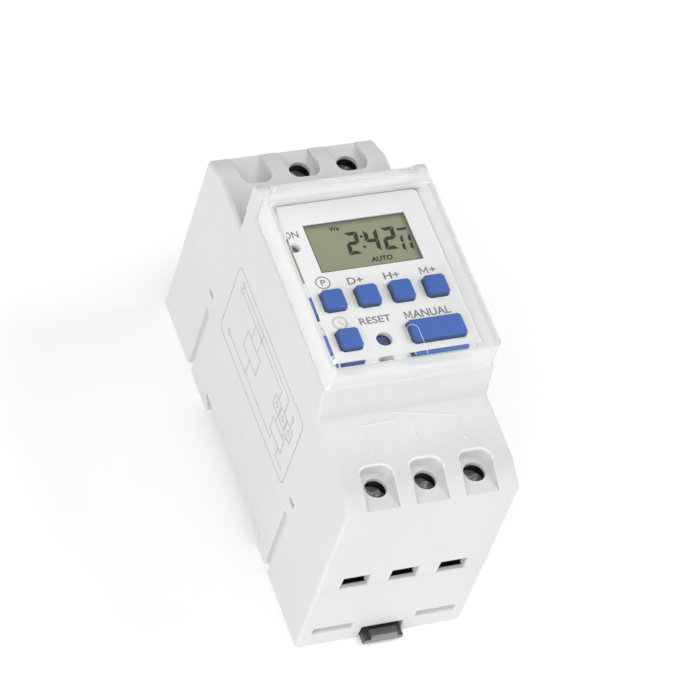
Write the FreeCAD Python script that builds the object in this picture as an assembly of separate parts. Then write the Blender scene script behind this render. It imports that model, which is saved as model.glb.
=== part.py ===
import FreeCAD, Part
import math
import os

Vector = FreeCAD.Vector

# A two-module weekly timer switch for a 35 mm rail, lying on its back.
# X runs across the width, Y along the length, Z from the rail side to the cover.
# The origin is the centre of the back plane. All sizes are in millimetres.

# Housing
housing_length = 86.4
housing_width = 36.0
seam_height = 20.0
shoulder_height = 49.6
shoulder_drop = 2.6
shoulder_bevel = 5.9
nose_rise = 7.8
nose_low_foot = -22.95
nose_low_rim = -21.7
nose_high = 24.3
wall = 1.8
base_inset = 0.15
side_round = 0.8
edge_round = 0.5

# Gaps between pieces
moving_gap = 0.3
seat_gap = 0.1
running_gap = 0.06
joining_gap = 0.2

# Rail channel in the back
rail_width = 35.0
rail_play = 0.5
channel_middle = -0.7
channel_depth = 3.6
hook_reach = 2.05
hook_tip_height = 0.9
hook_root_height = 2.3
foot_floor = 2.0

# Marks moulded in the base
side_groove_width = 2.1
side_groove_depth = 1.0
side_groove_places = (26.1, -24.1)
recess_inner = 6.9
recess_outer = 15.4
recess_low = 4.05
recess_high = 6.1
recess_depth = 1.2

# Snap tongues that hold the two housings together
snap_places = (26.7, -24.65)
snap_width = 1.6
snap_thickness = 1.2
snap_root_drop = 5.4
snap_window_rise = 3.8
snap_window_height = 1.4
snap_window_length = 2.2
snap_top_margin = 0.3
snap_bite = 0.9

# Rail latch
latch_width = 8.4
latch_lift = 0.3
latch_thickness = 2.6
latch_nose_reach = 1.95
latch_nose_height = 2.2
latch_nose_slope = 1.4
latch_tab_reach = 2.3
latch_tab_step = 1.4
latch_tab_width = 5.8
latch_pit_length = 2.2
latch_pit_floor = 1.3
latch_groove_low = 1.5
latch_groove_high = 3.1
latch_groove_reach = 1.2
latch_groove_wall = 3.2
latch_spring_width = 0.8
latch_spring_near = 9.0
latch_spring_length = 13.0
latch_spring_gap = 1.2

# Screw terminals
terminal_pitch = 10.3
cell_width = 7.6
cell_length = 7.0
cell_wall = 1.2
pocket_width = 6.6
pocket_length = 8.6
pocket_depth = 2.7
pocket_corner = 2.1
access_radius = 2.2
access_length = 1.0
wire_slot_width = 5.7
wire_slot_height = 3.8
wire_lip = 1.2
wire_lip_drop = 1.0
screw_below_roof = 2.4
screw_head_radius = 2.7
screw_head_height = 2.4
screw_shank_radius = 1.75
screw_slot_width = 0.8
screw_slot_depth = 1.1
screw_slot_rim = 0.54
cage_drop = 0.8
cage_height = 13.3
cage_end_gap = 0.4
cage_side_wall = 0.9
cage_top_wall = 2.0
cage_floor_wall = 1.0
bar_rise = 4.8
bar_thickness = 1.2
bar_bend_radius = 0.96
bar_width = 4.6
bar_tip_depth = 2.4
bar_leg_depth = 12.8
bar_tail_width = 1.2
bar_tail_length = 2.2
bar_rib_thickness = 1.0

# Power board
post_height = 6.6
board_thickness = 1.6
power_board_end_gap = 1.0
power_board_side_gap = 0.4
post_size = 4.0
post_side_margin = 3.15
post_end_margin = 5.2
post_pin_radius = 1.0
post_pin_height = 0.8

# Relay
relay_side_gap = 1.0
relay_y = 0.0
relay_width = 12.7
relay_length = 29.0
relay_height = 15.7
relay_wall = 0.8
relay_base_height = 1.6
coil_flange_size = 9.4
coil_flange_wall = 0.8
coil_length = 15.2
coil_back_gap = 1.4
winding_radius = 4.2
core_radius = 1.6
core_proud = 0.5
yoke_thickness = 1.0
yoke_width = 8.0
yoke_overhang = 1.3
armature_thickness = 1.0
armature_bottom = 3.0
armature_top_gap = 0.3
contact_width = 3.0
contact_thickness = 0.4
contact_height = 10.4
contact_spacing = 1.7
contact_first = 9.9
contact_rivet_radius = 0.9
contact_rivet_height = 0.5
contact_rivet_level = 9.4

# Other pieces on the power board
dropper_gap = 1.0
dropper_y = 2.0
dropper_width = 7.5
dropper_length = 18.0
dropper_height = 14.0
dropper_round = 0.8
can_y = -13.5
can_radius = 4.0
can_height = 12.0
can_foot_bevel = 0.4
bridge_y = -21.0
bridge_width = 8.5
bridge_length = 6.4
bridge_height = 3.2
bridge_lift = 0.5
bridge_lead_place = 2.55
lead_width = 0.6
lead_reach = 1.2
resistor_side_gap = 0.9
resistor_y = 1.5
resistor_radius = 2.2
resistor_length = 11.0
transistor_x = 3.0
transistor_spacing = 6.0
transistor_radius = 2.3
transistor_height = 4.6
transistor_lift = 1.5
transistor_leg_spacing = 1.27
header_width = 12.0
header_length = 4.5
header_height = 5.0
low_header_margin = 8.2
high_header_y = 16.6
ribbon_width = 10.0
ribbon_thickness = 0.6
ribbon_straight = 2.0

# Face plate under the cover
face_proud = 2.2
face_thickness = 1.3
face_side_gap = 0.4
face_low_end = -19.6
face_high_end = 20.6
face_skirt_wall = 1.2
face_corner = 0.8
face_bevel = 0.4
ledge_drop = 3.6
ledge_width = 1.3
ledge_thickness = 1.0
hook_place = 9.0
hook_width = 4.0
hook_thickness = 0.8
hook_bite = 0.8
hook_height = 1.0

# Control board and display
control_board_thickness = 1.2
control_board_side_gap = 0.4
window_left_margin = 5.535
window_right_margin = 4.615
window_length = 11.9
window_y = 9.11
window_lip = 0.35
glass_side_lap = 0.65
glass_end_lap = 2.1
glass_thickness = 2.2
glass_back_step = 1.4
frame_wall = 0.7
frame_gap = 0.1
zebra_width = 2.0
zebra_height = 4.45
zebra_inset = 0.3
chip_size = 9.0
chip_height = 1.4
chip_bevel = 0.3
crystal_side_gap = 2.5
crystal_y = 3.0
crystal_radius = 1.0
crystal_length = 6.2
battery_x = 2.0
battery_y = -8.0
battery_radius = 8.0
battery_thickness = 3.2
battery_bevel = 0.4
tab_thickness = 0.2
tab_width = 3.0
tab_reach = 2.5
led_side_margin = 2.2
led_y = 9.85
led_radius = 0.8
led_dome = 0.5
led_hole_radius = 0.95
led_below_face = 0.7

# Keys
key_left_margin = 5.375
key_right_margin = 4.775
keys_in_row = 4
key_width = 4.4
key_length = 4.7
key_row_y = -3.95
key_clock_y = -13.4
manual_y = -13.85
manual_width = 11.2
manual_length = 5.0
reset_x = -3.35
reset_y = -14.2
reset_radius = 1.3
reset_hole_radius = 1.6
reset_below_face = 1.1
key_proud = 1.4
key_hole_gap = 0.15
key_corner = 0.5
key_bevel = 0.25
key_flange_reach = 0.6
key_flange_thickness = 0.9
key_flange_play = 0.5
key_travel = 0.5
tact_size = 5.2
tact_clearance = 0.4
plunger_size = 3.0
plunger_below = 1.0

# Clear cover
cover_rise = 8.1
cover_inset = 0.55
cover_low_end = -21.7
cover_high_end = 21.9
cover_wall = 1.3
cover_corner = 1.0
cover_bevel = 0.8
ear_width = 2.5
ear_radius = 2.0
hinge_rise = 4.5
hinge_bar_radius = 1.3
hinge_pin_radius = 1.0
hinge_pin_length = 1.5
hinge_step_reach = 1.1
hinge_step_height = 2.0

# Places worked out from the sizes above
half_length = housing_length / 2
half_width = housing_width / 2
base_half_width = half_width - base_inset
end_height = shoulder_height - shoulder_drop
nose_height = shoulder_height + nose_rise
channel_low = channel_middle - (rail_width + rail_play) / 2
channel_high = channel_middle + (rail_width + rail_play) / 2
channel_floor = channel_depth + wall
snap_window_low = seam_height + snap_window_rise
snap_window_high = snap_window_low + snap_window_height

# Terminal places
cell_far = wall + cell_length
cell_back = cell_far + cell_wall
screw_depth = wall + cell_length / 2
pocket_floor = shoulder_height - pocket_depth
cell_roof = pocket_floor - access_length
screw_top = cell_roof - screw_below_roof
cage_width = cell_width - 2 * moving_gap
cage_length = cell_length - 2 * cage_end_gap
cage_bottom = seam_height - cage_drop
bar_bottom = seam_height + bar_rise
bar_top = bar_bottom + bar_thickness

# Places on the power board
power_board_bottom = channel_floor + post_height
power_board_top = power_board_bottom + board_thickness
power_board_half = base_half_width - wall - power_board_side_gap
power_board_reach = half_length - cell_back - power_board_end_gap
post_side = power_board_half - post_side_margin
post_end = power_board_reach - post_end_margin
relay_x = relay_side_gap + relay_width / 2 - power_board_half
dropper_x = relay_x + relay_width / 2 + dropper_gap + dropper_width / 2
resistor_x = power_board_half - resistor_side_gap - resistor_radius
low_header_y = power_board_reach - low_header_margin
transistor_y = low_header_y - transistor_spacing

# Levels and places under the face plate
face_height = nose_height + face_proud
face_underside = face_height - face_thickness
face_half_width = half_width - wall - face_side_gap
ledge_top = nose_height - ledge_drop
glass_top = face_height - window_lip
glass_bottom = glass_top - glass_thickness
control_board_top = glass_bottom - zebra_height
control_board_bottom = control_board_top - control_board_thickness
control_board_half = half_width - wall - ledge_width - control_board_side_gap
window_x = (window_left_margin - window_right_margin) / 2
window_width = 2 * face_half_width - window_left_margin - window_right_margin
glass_width = window_width + 2 * glass_side_lap
glass_length = window_length + 2 * glass_end_lap
led_x = led_side_margin - face_half_width
crystal_x = crystal_side_gap + crystal_radius - control_board_half

# Key levels and places
key_first_x = key_left_margin - face_half_width
key_last_x = face_half_width - key_right_margin
key_pitch = (key_last_x - key_first_x) / (keys_in_row - 1)
key_flange_top = face_underside - key_flange_play
key_flange_bottom = key_flange_top - key_flange_thickness
tact_top = key_flange_bottom - key_travel - tact_clearance
manual_x = key_last_x + (key_width - manual_width) / 2
key_hole_corner = key_corner + (2 - math.sqrt(2)) * key_hole_gap

# Cover and hinge places
cover_rim = nose_height + moving_gap
cover_height = nose_height + cover_rise
cover_underside = cover_height - cover_wall
cover_half_width = half_width - cover_inset
hinge_height = nose_height + hinge_rise
hinge_y = nose_high - ear_radius
ear_inner = half_width - ear_width
hinge_bar_end = ear_inner - moving_gap
ear_clear_y = hinge_y - ear_radius - moving_gap

# Terminals as (x, end), with end -1 at the three-screw end and +1 at the other
terminals = {
    1: (-terminal_pitch, -1),
    2: (0.0, -1),
    3: (terminal_pitch, -1),
    4: (0.0, 1),
    5: (terminal_pitch, 1),
}
cell_columns = (-terminal_pitch, 0.0, terminal_pitch)

# Rectangular keys as (x, y, width, length)
keys = {
    "program": (key_first_x, key_row_y, key_width, key_length),
    "day": (key_first_x + key_pitch, key_row_y, key_width, key_length),
    "hour": (key_last_x - key_pitch, key_row_y, key_width, key_length),
    "minute": (key_last_x, key_row_y, key_width, key_length),
    "clock": (key_first_x, key_clock_y, key_width, key_length),
    "manual": (manual_x, manual_y, manual_width, manual_length),
}
switch_places = {name: (key[0], key[1]) for name, key in keys.items()}
switch_places["reset"] = (reset_x, reset_y)


def block(x_low, x_high, y_low, y_high, z_low, z_high):
    """A box between two corners."""
    corner = Vector(x_low, y_low, z_low)
    return Part.makeBox(x_high - x_low, y_high - y_low, z_high - z_low, corner)


def centred_block(x, y, width, length, z_low, z_high):
    """A box round an upright axis."""
    return block(x - width / 2, x + width / 2, y - length / 2, y + length / 2, z_low, z_high)


def polygon_face(corners):
    return Part.Face(Part.makePolygon(corners + corners[:1]))


def side_profile(points, x_low, x_high):
    """A side outline of (y, z) points, extruded across the width."""
    face = polygon_face([Vector(x_low, y, z) for y, z in points])
    return face.extrude(Vector(x_high - x_low, 0, 0))


def end_profile(points, y_low, y_high):
    """An end outline of (x, z) points, extruded along the length."""
    face = polygon_face([Vector(x, y_low, z) for x, z in points])
    return face.extrude(Vector(0, y_high - y_low, 0))


def upright(x, y, radius, z_low, z_high):
    return Part.makeCylinder(radius, z_high - z_low, Vector(x, y, z_low), Vector(0, 0, 1))


def crosswise(y, z, radius, x_low, x_high):
    return Part.makeCylinder(radius, x_high - x_low, Vector(x_low, y, z), Vector(1, 0, 0))


def lengthwise(x, z, radius, y_low, y_high):
    return Part.makeCylinder(radius, y_high - y_low, Vector(x, y_low, z), Vector(0, 1, 0))


def round_edges(shape, radius, chosen):
    return shape.makeFillet(radius, [edge for edge in shape.Edges if chosen(edge)])


def bevel_rim(shape, size, level):
    """Chamfer every edge that lies flat at one level of Z."""
    return shape.makeChamfer(size, [edge for edge in shape.Edges if lies_at(edge, level, level)])


def is_upright(edge):
    box = edge.BoundBox
    return box.XLength + box.YLength < 1e-6


def lies_at(edge, low, high):
    """Whether an edge's box lies between two levels of Z."""
    return edge.BoundBox.ZMin > low - 1e-6 and edge.BoundBox.ZMax < high + 1e-6


def rounded_block(x, y, width, length, z_low, z_high, corner):
    """A box with its upright edges rounded."""
    return round_edges(centred_block(x, y, width, length, z_low, z_high), corner, is_upright)


def cornered_block(x, y, width, length, z_low, z_high, corner):
    """A box with its upright edges cut off flat."""
    shape = centred_block(x, y, width, length, z_low, z_high)
    return shape.makeChamfer(corner, [edge for edge in shape.Edges if is_upright(edge)])


def both_sides(shape):
    """A shape and its mirror image across the width."""
    return [shape, shape.mirror(Vector(0, 0, 0), Vector(1, 0, 0))]


def inward(end, near, far):
    """Range of Y between two depths, measured in from an end face."""
    places = (end * (half_length - near), end * (half_length - far))
    return min(places), max(places)


def at_end(x, width, end, near, far, z_low, z_high):
    """A box across an upright plane, placed by its depth in from an end face."""
    y_low, y_high = inward(end, near, far)
    return block(x - width / 2, x + width / 2, y_low, y_high, z_low, z_high)


def save(name, shape):
    shape.exportStep("parts/" + name + ".step")


# Base housing

def base_outline():
    """Side outline of the base, with the rail channel and its fixed hook."""
    return [
        (-half_length, 0),
        (channel_low, 0),
        (channel_low, channel_depth),
        (channel_high, channel_depth),
        (channel_high, hook_root_height),
        (channel_high - hook_reach, hook_tip_height),
        (channel_high - hook_reach, 0),
        (half_length, 0),
        (half_length, seam_height),
        (-half_length, seam_height),
    ]


def base_cavity():
    """Room inside the base, deeper in the foot behind the hook."""
    inner = half_length - wall
    step = channel_high + wall
    outline = [
        (-inner, channel_floor),
        (step, channel_floor),
        (step, foot_floor),
        (inner, foot_floor),
        (inner, seam_height),
        (-inner, seam_height),
    ]
    return side_profile(outline, wall - base_half_width, base_half_width - wall)


def latch_way():
    """Slot and side grooves in the foot that the latch slides in."""
    half_slot = latch_width / 2 + moving_gap
    slot = block(-half_slot, half_slot, -half_length, channel_low, 0, channel_depth)
    half_groove = half_slot + latch_groove_reach
    groove_start = latch_groove_wall - half_length
    groove = block(
        -half_groove, half_groove, groove_start, channel_low, latch_groove_low, latch_groove_high
    )
    return slot.fuse(groove)


def side_groove(y):
    return block(
        base_half_width - side_groove_depth,
        base_half_width,
        y - side_groove_width / 2,
        y + side_groove_width / 2,
        0,
        seam_height,
    )


def wire_lip_step(x, end):
    """Step in the base's wall behind the lip under a wire slot."""
    low = seam_height - wire_lip_drop
    return at_end(x, wire_slot_width, end, wire_lip, cell_far, low, seam_height)


def end_recess(end):
    y_low, y_high = inward(end, 0, recess_depth)
    return block(recess_inner, recess_outer, y_low, y_high, recess_low, recess_high)


def snap_tongue(y):
    """Upright tongue whose barb catches in the window of the front housing."""
    inner = half_width - wall
    outer = inner - moving_gap
    top = snap_window_high + snap_top_margin
    y_low = y - snap_width / 2
    y_high = y + snap_width / 2
    bottom = seam_height - snap_root_drop
    tongue = block(outer - snap_thickness, outer, y_low, y_high, bottom, top)
    root_outer = base_half_width - wall / 2
    root_top = seam_height - moving_gap
    root = block(outer - snap_thickness, root_outer, y_low, y_high, bottom, root_top)
    barb_bottom = snap_window_low + joining_gap
    barb = end_profile(
        [
            (outer, barb_bottom),
            (inner + snap_bite, barb_bottom),
            (inner + snap_bite, barb_bottom + joining_gap),
            (outer, top),
        ],
        y_low,
        y_high,
    )
    return tongue.fuse([root, barb])


def bar_rib(x, end):
    """Rib that fills the foot of the wall slot and carries a terminal bar."""
    middle = (cell_far + cell_back) / 2
    near = middle - bar_rib_thickness / 2
    far = middle + bar_rib_thickness / 2
    floor = channel_floor if end < 0 else foot_floor
    return at_end(x, bar_width, end, near, far, floor, bar_bottom)


def board_post(x, y):
    """Post that carries a corner of the power board."""
    floor = channel_floor if y < channel_high else foot_floor
    return centred_block(x, y, post_size, post_size, floor, power_board_bottom)


def post_pin_places():
    """Two opposite posts whose pins locate the power board."""
    return [(-post_side, post_end), (post_side, -post_end)]


def make_base_housing():
    body = side_profile(base_outline(), -base_half_width, base_half_width)

    def outer_upright(edge):
        at_corner = abs(edge.BoundBox.YMin) > half_length - 1e-6
        return is_upright(edge) and at_corner

    body = round_edges(body, side_round, outer_upright)
    cuts = [base_cavity(), latch_way()]
    for y in side_groove_places:
        cuts += both_sides(side_groove(y))
    for end in (-1, 1):
        cuts += both_sides(end_recess(end))
    cuts += [wire_lip_step(x, end) for x, end in terminals.values()]
    body = body.cut(cuts)
    added = [bar_rib(x, end) for x, end in terminals.values()]
    for y in snap_places:
        added += both_sides(snap_tongue(y))
    for y in (-post_end, post_end):
        added += both_sides(board_post(post_side, y))
    pin_top = power_board_top + post_pin_height
    for x, y in post_pin_places():
        added.append(upright(x, y, post_pin_radius, channel_floor, pin_top))
    return body.fuse(added).removeSplitter()


# Front housing

def front_outline():
    """Side outline of the front housing, with both shoulders and the nose."""
    return [
        (-half_length, seam_height),
        (-half_length, end_height),
        (shoulder_bevel - half_length, shoulder_height),
        (nose_low_foot, shoulder_height),
        (nose_low_rim, nose_height),
        (nose_high, nose_height),
        (nose_high, shoulder_height),
        (half_length - shoulder_bevel, shoulder_height),
        (half_length, end_height),
        (half_length, seam_height),
    ]


def front_cavity():
    """Room between the terminal walls, open at the seam and at the nose."""
    inner = half_length - cell_back
    roof = shoulder_height - wall
    outline = [
        (-inner, seam_height),
        (-inner, roof),
        (nose_low_foot + wall, roof),
        (nose_low_rim + wall, nose_height),
        (nose_high - wall, nose_height),
        (nose_high - wall, roof),
        (inner, roof),
        (inner, seam_height),
    ]
    return side_profile(outline, wall - half_width, half_width - wall)


def terminal_pocket(x, end):
    """Pocket in a shoulder that runs out over its end edge."""
    y_low, y_high = inward(end, -pocket_length, pocket_length)
    length = y_high - y_low
    y = (y_low + y_high) / 2
    return rounded_block(
        x, y, pocket_width, length, pocket_floor, shoulder_height + wall, pocket_corner
    )


def terminal_cell(x, end):
    return at_end(x, cell_width, end, wall, cell_far, seam_height, cell_roof)


def terminal_openings(x, end):
    """Screwdriver hole, wire slot and the slot that lets a bar through."""
    y = end * (half_length - screw_depth)
    slot_width = bar_width + 2 * joining_gap
    wire_slot_top = seam_height + wire_slot_height
    return [
        upright(x, y, access_radius, cell_roof, pocket_floor),
        at_end(x, wire_slot_width, end, 0, wall, seam_height, wire_slot_top),
        at_end(x, slot_width, end, cell_far, cell_back, seam_height, bar_top + seat_gap),
    ]


def snap_window(y):
    y_low = y - snap_window_length / 2
    y_high = y + snap_window_length / 2
    return block(half_width - wall, half_width, y_low, y_high, snap_window_low, snap_window_high)


def hinge_ear():
    """Ear at a top corner of the nose, with a blind hole for the cover's pin."""
    foot = block(
        ear_inner,
        half_width,
        hinge_y - ear_radius,
        hinge_y + ear_radius,
        nose_height - wall,
        hinge_height,
    )
    ear = foot.fuse(crosswise(hinge_y, hinge_height, ear_radius, ear_inner, half_width))
    hole_end = hinge_bar_end + hinge_pin_length + moving_gap
    hole_radius = hinge_pin_radius + running_gap
    return ear.cut(crosswise(hinge_y, hinge_height, hole_radius, ear_inner, hole_end))


def face_ledge():
    """Ledge along a nose wall that the face plate's skirt stands on."""
    outer = half_width - wall / 2
    inner = half_width - wall - ledge_width
    low = nose_low_rim + wall
    high = nose_high - wall / 2
    return block(inner, outer, low, high, ledge_top - ledge_thickness, ledge_top)


def make_front_housing():
    body = side_profile(front_outline(), -half_width, half_width)

    def on_side(edge):
        box = edge.BoundBox
        return box.XLength < 1e-6 and box.ZMax > seam_height + 1e-6

    body = round_edges(body, side_round, on_side)
    cuts = [front_cavity()]
    for end in (-1, 1):
        for x in cell_columns:
            cuts += [terminal_cell(x, end), terminal_pocket(x, end)]
    for x, end in terminals.values():
        cuts += terminal_openings(x, end)
    for y in snap_places:
        cuts += both_sides(snap_window(y))
    body = body.cut(cuts)
    added = both_sides(hinge_ear()) + both_sides(face_ledge())
    return body.fuse(added).removeSplitter()


# Face plate, display and control board

def display_block(width, length, z_low, z_high):
    """A box round the middle of the display window."""
    return centred_block(window_x, window_y, width, length, z_low, z_high)


def glass_room():
    """Width and length of the room that the display glass stands in."""
    return glass_width + 2 * frame_gap, glass_length + 2 * frame_gap


def make_face_plate():
    """Tray-shaped plate with a lipped display window, key holes and snap hooks."""
    full_length = face_high_end - face_low_end
    middle = (face_high_end + face_low_end) / 2
    full_width = 2 * face_half_width
    tray = cornered_block(
        0, middle, full_width, full_length, ledge_top, face_height, face_corner
    )
    tray = bevel_rim(tray, face_bevel, face_height)
    room = centred_block(
        0,
        middle,
        full_width - 2 * face_skirt_wall,
        full_length - 2 * face_skirt_wall,
        ledge_top,
        face_underside,
    )
    holes = [
        display_block(window_width, window_length, glass_top, face_height),
        display_block(*glass_room(), face_underside, glass_top),
    ]
    for x, y, width, length in keys.values():
        holes.append(
            cornered_block(
                x,
                y,
                width + 2 * key_hole_gap,
                length + 2 * key_hole_gap,
                face_underside,
                face_height,
                key_hole_corner,
            )
        )
    holes.append(upright(reset_x, reset_y, reset_hole_radius, face_underside, face_height))
    holes.append(upright(led_x, led_y, led_hole_radius, face_underside, face_height))
    hooks = board_hook(face_low_end, 1) + board_hook(face_high_end, -1)
    return tray.cut([room] + holes).fuse(hooks).removeSplitter()


def board_hook(outer, inside):
    """Pair of snap hooks that reach down from the skirt and round the control board."""
    leg = outer + inside * hook_thickness
    outline = [
        (outer, face_underside),
        (outer, control_board_bottom - hook_height),
        (leg, control_board_bottom - hook_height),
        (leg + inside * hook_bite, control_board_bottom),
        (leg, control_board_bottom),
        (leg, face_underside),
    ]
    return both_sides(side_profile(outline, hook_place - hook_width / 2, hook_place + hook_width / 2))


def make_control_board():
    half = control_board_half
    low = face_low_end + hook_thickness + joining_gap
    high = face_high_end - hook_thickness - joining_gap
    return block(-half, half, low, high, control_board_bottom, control_board_top)


def make_lcd_glass():
    """Two bonded glasses, the lower one shorter so that its contacts show."""
    step_level = glass_top - glass_thickness / 2
    upper = display_block(glass_width, glass_length, step_level, glass_top)
    lower = display_block(glass_width, glass_length, glass_bottom, step_level)
    trim = block(
        window_x - glass_width,
        window_x + glass_width,
        window_y + glass_length / 2 - glass_back_step,
        window_y + glass_length / 2,
        glass_bottom,
        step_level,
    )
    return upper.fuse(lower.cut(trim)).removeSplitter()


def make_lcd_frame():
    """Rectangular frame that holds the glass over the board."""
    width, length = glass_room()
    outer = display_block(
        width + 2 * frame_wall, length + 2 * frame_wall, control_board_top, face_underside
    )
    return outer.cut(display_block(width, length, control_board_top, face_underside))


def zebra_places():
    """Middles of the two strips along the length."""
    low = window_y - glass_length / 2 + zebra_inset + zebra_width / 2
    high = window_y + glass_length / 2 - glass_back_step - zebra_inset - zebra_width / 2
    return low, high


def make_zebra_strips():
    """Two conductive rubber strips between the board and the glass."""
    length = glass_width - 2 * zebra_inset
    strips = [
        centred_block(window_x, y, length, zebra_width, control_board_top, glass_bottom)
        for y in zebra_places()
    ]
    return Part.makeCompound(strips)


def make_control_chip():
    top = control_board_top + chip_height
    middle = sum(zebra_places()) / 2
    body = centred_block(window_x, middle, chip_size, chip_size, control_board_top, top)
    return bevel_rim(body, chip_bevel, top)


def make_quartz_crystal():
    z = control_board_bottom - crystal_radius
    y_low = crystal_y - crystal_length / 2
    return lengthwise(crystal_x, z, crystal_radius, y_low, y_low + crystal_length)


def battery_levels():
    """Bottom and top of the cell, which hangs on tabs under the board."""
    top = control_board_bottom - tab_thickness
    return top - battery_thickness, top


def make_backup_battery():
    low, high = battery_levels()
    cell = upright(battery_x, battery_y, battery_radius, low, high)
    return bevel_rim(cell, battery_bevel, low)


def make_battery_tabs():
    """One strip over the cell and one cranked strip under it."""
    low, high = battery_levels()
    plus = block(
        battery_x - tab_width / 2,
        battery_x + tab_width / 2,
        battery_y,
        battery_y + battery_radius + tab_reach,
        high,
        control_board_bottom,
    )
    start = battery_y
    outer = battery_y - battery_radius - tab_reach
    outline = [
        (start, low - tab_thickness),
        (start, low),
        (outer + tab_thickness, low),
        (outer + tab_thickness, control_board_bottom),
        (outer, control_board_bottom),
        (outer, low - tab_thickness),
    ]
    minus = side_profile(outline, battery_x - tab_width / 2, battery_x + tab_width / 2)
    return Part.makeCompound([plus, minus])


def make_status_led():
    top = face_height - led_below_face
    return bevel_rim(upright(led_x, led_y, led_radius, control_board_top, top), led_dome, top)


# Keys and the switches under them

def make_rectangular_key(x, y, width, length):
    """Cap with a flange that stays under the face plate."""
    top = face_height + key_proud
    cap = cornered_block(x, y, width, length, key_flange_top, top, key_corner)
    cap = bevel_rim(cap, key_bevel, top)
    flange = centred_block(
        x,
        y,
        width + 2 * key_flange_reach,
        length + 2 * key_flange_reach,
        key_flange_bottom,
        key_flange_top,
    )
    return cap.fuse(flange)


def make_reset_key():
    top = face_height - reset_below_face
    cap = bevel_rim(upright(reset_x, reset_y, reset_radius, key_flange_top, top), key_bevel, top)
    size = 2 * (reset_hole_radius + key_flange_reach)
    return cap.fuse(centred_block(reset_x, reset_y, size, size, key_flange_bottom, key_flange_top))


def make_plunger(x, y):
    bottom = tact_top - plunger_below
    return centred_block(x, y, plunger_size, plunger_size, bottom, key_flange_bottom)


def make_tact_switch(x, y):
    """Switch body with an open well for its plunger."""
    body = centred_block(x, y, tact_size, tact_size, control_board_top, tact_top)
    well_bottom = tact_top - plunger_below - key_travel - moving_gap
    well_size = plunger_size + 2 * running_gap
    return body.cut(centred_block(x, y, well_size, well_size, well_bottom, tact_top))


# Clear cover

def make_clear_cover():
    """Deep lid with a hinge bar and end pins between the ears."""
    length = cover_high_end - cover_low_end
    middle = (cover_high_end + cover_low_end) / 2
    shell = rounded_block(
        0, middle, 2 * cover_half_width, length, cover_rim, cover_height, cover_corner
    )
    shell = bevel_rim(shell, cover_bevel, cover_height)
    inner = cover_half_width - cover_wall
    room_end = cover_high_end - cover_wall
    room = block(-inner, inner, cover_low_end + cover_wall, room_end, cover_rim, cover_underside)
    under_web = block(
        -hinge_bar_end, hinge_bar_end, ear_clear_y, cover_high_end, cover_rim, hinge_height
    )
    ear_notch = block(
        hinge_bar_end, half_width, ear_clear_y, cover_high_end, cover_rim, cover_height
    )
    shell = shell.cut([room, under_web] + both_sides(ear_notch))
    bar = crosswise(hinge_y, hinge_height, hinge_bar_radius, -hinge_bar_end, hinge_bar_end)
    pin_end = hinge_bar_end + hinge_pin_length
    pins = crosswise(hinge_y, hinge_height, hinge_pin_radius, -pin_end, pin_end)
    step = block(
        -hinge_bar_end,
        hinge_bar_end,
        room_end,
        cover_high_end + hinge_step_reach,
        hinge_height,
        hinge_height + hinge_step_height,
    )
    return shell.fuse([bar, pins, step]).removeSplitter()


# Rail latch

def latch_spring():
    """Bowed side arm that bears in the groove of the foot."""
    side = latch_width / 2
    bow = side + latch_groove_reach
    start = latch_spring_near - half_length
    end = start + latch_spring_length
    middle = (start + end) / 2
    low = latch_groove_low + joining_gap
    high = latch_lift + latch_thickness
    outer = Part.Arc(Vector(side, start, low), Vector(bow, middle, low), Vector(side, end, low))
    back = side - latch_spring_width
    inner = Part.Arc(
        Vector(back, end, low),
        Vector(bow - latch_spring_width, middle, low),
        Vector(back, start, low),
    )
    edges = [
        outer.toShape(),
        Part.makeLine(Vector(side, end, low), Vector(back, end, low)),
        inner.toShape(),
        Part.makeLine(Vector(back, start, low), Vector(side, start, low)),
    ]
    return Part.Face(Part.Wire(edges)).extrude(Vector(0, 0, high - low))


def make_rail_latch():
    """Slider with a sloped nose over the rail, side springs and a pit behind its pull tab."""
    side = latch_width / 2
    top = latch_lift + latch_thickness
    nose = channel_low + latch_nose_reach
    outer = -half_length - latch_tab_reach
    step = latch_lift + latch_tab_step
    outline = [
        (outer, latch_lift + edge_round),
        (outer + edge_round, latch_lift),
        (nose - latch_nose_slope, latch_lift),
        (nose, latch_lift + latch_nose_slope),
        (nose, latch_nose_height),
        (channel_low - moving_gap, latch_nose_height),
        (channel_low - moving_gap, top),
        (outer + edge_round, top),
        (outer, top - edge_round),
    ]
    body = side_profile(outline, -side, side)
    shoulder = block(latch_tab_width / 2, side, outer, -half_length - moving_gap, step, top)
    start = latch_spring_near - half_length
    end = start + latch_spring_length
    window_start = start + latch_spring_width
    window_end = end - latch_spring_width
    inner = side - latch_spring_width - latch_spring_gap
    relief = block(inner, side, window_start, window_end, latch_lift, top)
    pit_start = -half_length - moving_gap
    pit = block(-side, side, pit_start, pit_start + latch_pit_length, latch_pit_floor, top)
    body = body.cut(both_sides(shoulder) + both_sides(relief) + [pit])
    return body.fuse(both_sides(latch_spring())).removeSplitter()


# Screw terminals

def make_terminal_screw(x, end):
    """Cross-slotted head on a plain shank that stands over the bar."""
    y = end * (half_length - screw_depth)
    head_bottom = screw_top - screw_head_height
    head = upright(x, y, screw_head_radius, head_bottom, screw_top)
    slot_bottom = screw_top - screw_slot_depth
    reach = 2 * (screw_head_radius - screw_slot_rim)
    slots = [
        centred_block(x, y, reach, screw_slot_width, slot_bottom, screw_top),
        centred_block(x, y, screw_slot_width, reach, slot_bottom, screw_top),
    ]
    shank = upright(x, y, screw_shank_radius, bar_top + moving_gap, head_bottom)
    return head.cut(slots).fuse(shank)


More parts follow.
